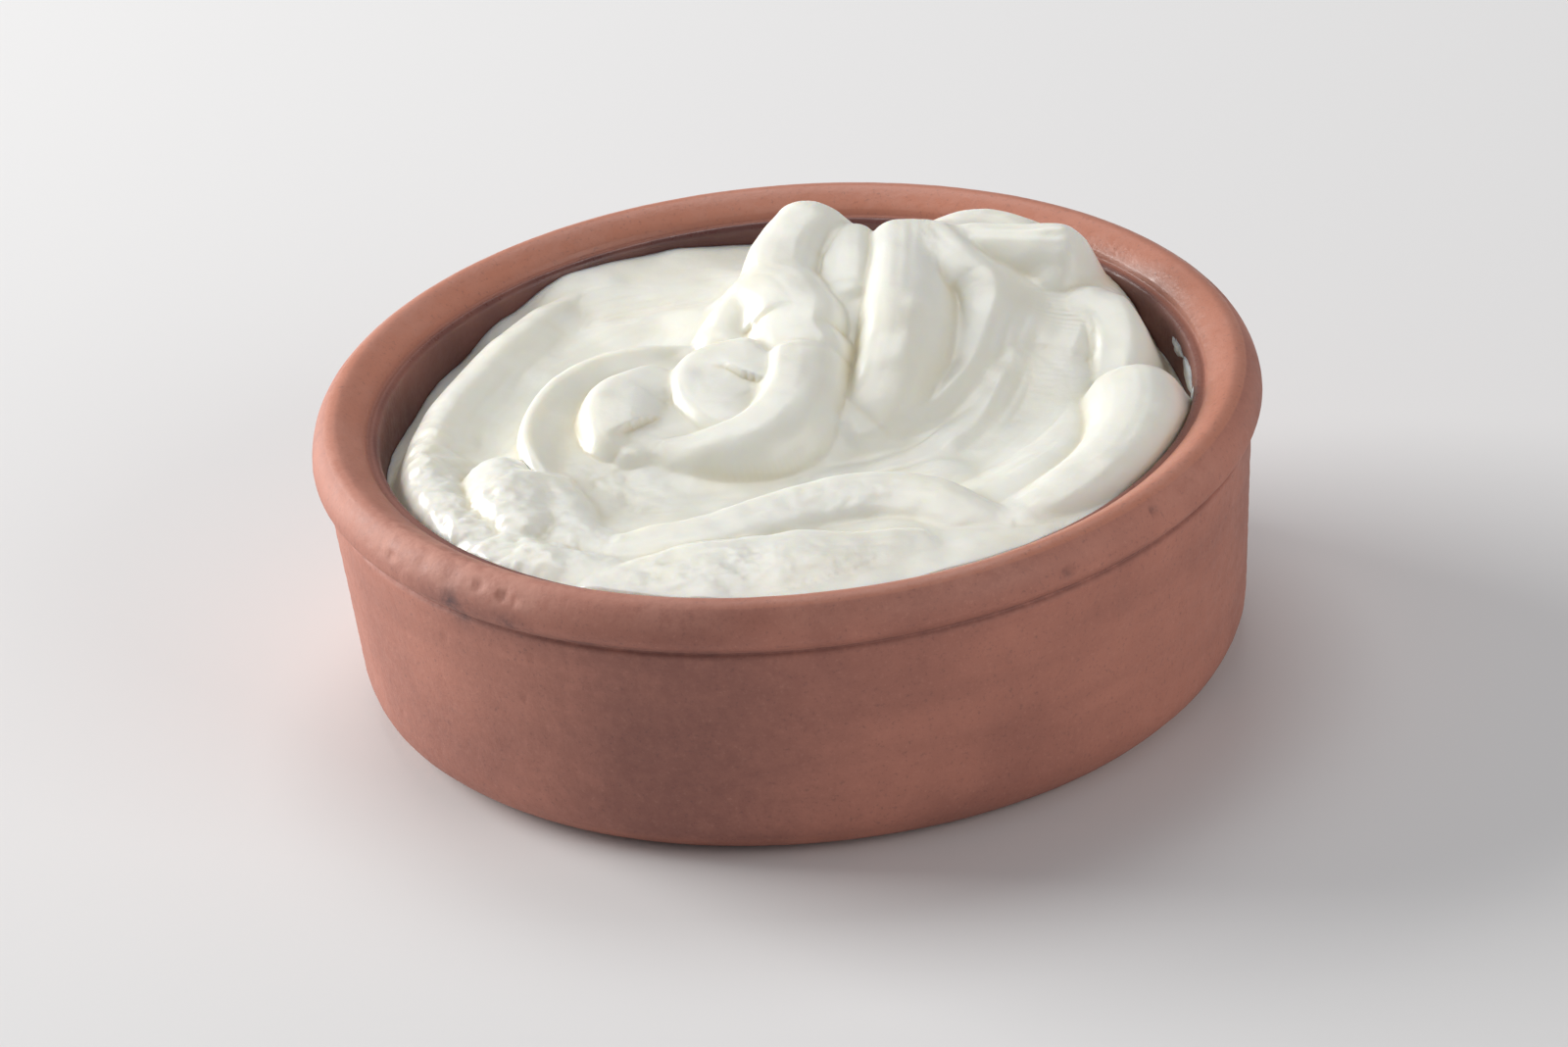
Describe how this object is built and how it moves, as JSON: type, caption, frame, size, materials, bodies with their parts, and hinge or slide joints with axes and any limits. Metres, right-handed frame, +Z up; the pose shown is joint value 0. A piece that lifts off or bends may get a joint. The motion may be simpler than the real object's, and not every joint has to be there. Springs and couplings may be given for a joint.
{
  "type": "bowl of yogurt",
  "caption": "Round terracotta bowl with a rolled rim, filled and heaped with thick swirled yogurt.",
  "frame": {"origin": "centre of the bowl's flat foot, on the surface it rests on", "axes": "+Z up through the bowl's axis, +Y towards the highest peak of the yogurt at the back, +X to the right"},
  "size_m": [0.14, 0.14, 0.0535],
  "materials": {
    "clay": "matte",
    "yogurt": "soft gloss"
  },
  "bodies": {
    "root": {"bowl": "clay", "yogurt": "yogurt"}
  },
  "joints": []
}
